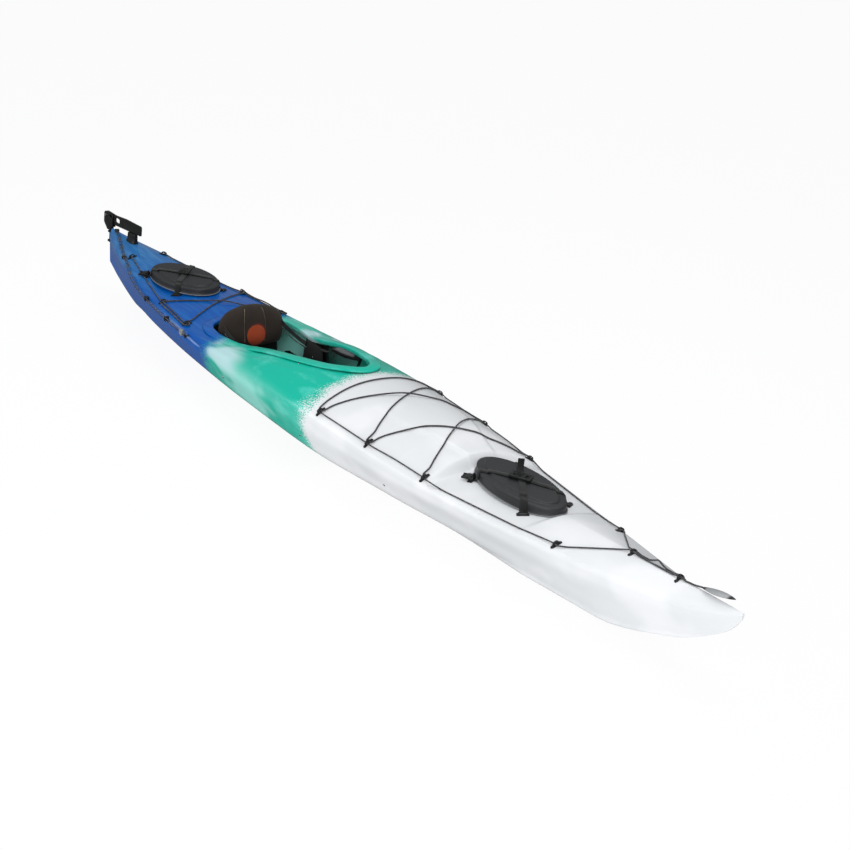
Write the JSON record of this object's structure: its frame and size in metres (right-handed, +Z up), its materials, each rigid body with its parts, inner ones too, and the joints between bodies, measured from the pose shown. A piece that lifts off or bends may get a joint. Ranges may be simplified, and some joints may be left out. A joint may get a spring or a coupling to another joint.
{
  "type": "sea kayak",
  "caption": "Closed-deck touring kayak with a sit-in cockpit, padded seat, lidded fore and aft holds, deck lines and a flip-over rudder worked by foot pedals.",
  "frame": {"origin": "on the ground under the middle of the whole length, stowed rudder included; the keel flat rests at z = 0", "axes": "+X to the bow, +Y to port, +Z up"},
  "size_m": [4.349, 0.61, 0.3771],
  "materials": {
    "hull_plastic": "glossy rotomoulded polyethylene, white at the bow, teal amidships, blue at the stern",
    "deck_plastic": "glossy rotomoulded polyethylene, the same three colours",
    "foam": "closed-cell foam, matt",
    "hatch_rubber": "charcoal rubber, satin",
    "webbing": "black woven webbing",
    "black_plastic": "black moulded nylon, satin",
    "grey_plastic": "grey moulded nylon, satin",
    "cord": "black braided cord with a light fleck",
    "steel": "stainless steel",
    "seat_cloth": "dark brown seat cloth"
  },
  "bodies": {
    "hull": {"hull_shell": "hull_plastic", "deck_shell": "deck_plastic", "bulkhead_fore": "foam", "bulkhead_aft": "foam", "foredeck_eye_port_1": "black_plastic", "foredeck_eye_starboard_1": "black_plastic", "foredeck_eye_port_2": "black_plastic", "foredeck_eye_starboard_2": "black_plastic", "foredeck_eye_port_3": "black_plastic", "foredeck_eye_starboard_3": "black_plastic", "foredeck_eye_port_4": "black_plastic", "foredeck_eye_starboard_4": "black_plastic", "aft_deck_eye_port_1": "black_plastic", "aft_deck_eye_starboard_1": "black_plastic", "aft_deck_eye_port_2": "black_plastic", "aft_deck_eye_starboard_2": "black_plastic", "aft_deck_eye_port_3": "black_plastic", "aft_deck_eye_starboard_3": "black_plastic", "bow_join_eye": "black_plastic", "bow_handle_eye": "black_plastic", "foredeck_bungee": "cord", "foredeck_line_port": "cord", "foredeck_line_starboard": "cord", "aft_bungee": "cord", "aft_deck_line_port": "cord", "aft_deck_line_starboard": "cord", "bow_handle_cord": "cord", "bow_bungee": "cord", "rudder_lift_line": "cord", "rudder_bracket": "black_plastic", "rudder_pin": "steel", "rudder_rest": "black_plastic", "seat_pan": "black_plastic", "seat_cushion": "seat_cloth", "hip_pad_port": "foam", "hip_pad_starboard": "foam", "thigh_brace_port": "grey_plastic", "thigh_brace_starboard": "grey_plastic", "hip_strap_port": "webbing", "hip_strap_starboard": "webbing", "foot_rail_port": "grey_plastic", "foot_rail_starboard": "grey_plastic"},
    "bow_cover": {"bow_hatch_cover": "hatch_rubber", "bow_hatch_straps": "webbing", "bow_hatch_buckle": "black_plastic"},
    "stern_cover": {"stern_hatch_cover": "hatch_rubber", "stern_hatch_straps": "webbing", "stern_hatch_buckle": "black_plastic"},
    "bow_grip": {"bow_handle": "grey_plastic"},
    "yoke": {"rudder_yoke": "black_plastic", "rudder_pivot_bolt": "steel"},
    "blade": {"rudder_blade": "black_plastic"},
    "toggle": {"lift_line_toggle": "grey_plastic"},
    "back_rest": {"seat_back": "seat_cloth", "seat_back_frame": "black_plastic"},
    "pedal_port": {"foot_pedal_port": "black_plastic"},
    "pedal_starboard": {"foot_pedal_starboard": "black_plastic"},
    "toe_port": {"toe_plate_port": "black_plastic"},
    "toe_starboard": {"toe_plate_starboard": "black_plastic"}
  },
  "joints": [
    {"name": "rudder_yaw", "type": "hinge", "parent": "hull", "child": "yoke", "pos_m": [-2.1175, 0, 0.3], "axis": [0, 0, 1], "range_deg": [-35, 35]},
    {"name": "rudder_flip", "type": "hinge", "parent": "yoke", "child": "blade", "pos_m": [-2.1525, 0, 0.34015], "axis": [0, -1, 0], "range_deg": [0, 250]},
    {"name": "lift_toggle_slide", "type": "slide", "parent": "hull", "child": "toggle", "axis": [-0.9955, 0.0947, -0.0041], "range_m": [0, 0.15]},
    {"name": "pedal_port_slide", "type": "slide", "parent": "hull", "child": "pedal_port", "axis": [0.9965, -0.0841, 0], "range_m": [-0.1, 0.1]},
    {"name": "pedal_starboard_slide", "type": "slide", "parent": "hull", "child": "pedal_starboard", "axis": [0.9965, 0.0841, 0], "range_m": [-0.1, 0.1]},
    {"name": "toe_port_hinge", "type": "hinge", "parent": "pedal_port", "child": "toe_port", "pos_m": [0.35576, 0.18016, 0.15655], "axis": [0.0841, 0.9965, 0], "range_deg": [-12, 12]},
    {"name": "toe_starboard_hinge", "type": "hinge", "parent": "pedal_starboard", "child": "toe_starboard", "pos_m": [0.35576, -0.18016, 0.15655], "axis": [-0.0841, 0.9965, 0], "range_deg": [-12, 12]},
    {"name": "bow_cover_lift", "type": "slide", "parent": "hull", "child": "bow_cover", "axis": [0.038, 0, 0.9993], "range_m": [0, 0.08]},
    {"name": "stern_cover_lift", "type": "slide", "parent": "hull", "child": "stern_cover", "axis": [-0.018, 0, 0.9998], "range_m": [0, 0.08]},
    {"name": "seat_back_recline", "type": "hinge", "parent": "hull", "child": "back_rest", "pos_m": [-0.77245, 0, 0.10915], "axis": [0, 1, 0], "range_deg": [-6, 40]},
    {"name": "bow_handle_lift", "type": "hinge", "parent": "hull", "child": "bow_grip", "pos_m": [1.9874, 0, 0.31544], "axis": [0, -1, 0], "range_deg": [0, 80]}
  ],
  "couplings": [
    {"joint": "lift_toggle_slide", "follows": "rudder_flip", "m_per_rad": 0.0343},
    {"joint": "toe_port_hinge", "follows": "rudder_yaw", "ratio": 0.3},
    {"joint": "toe_starboard_hinge", "follows": "rudder_yaw", "ratio": -0.3}
  ]
}
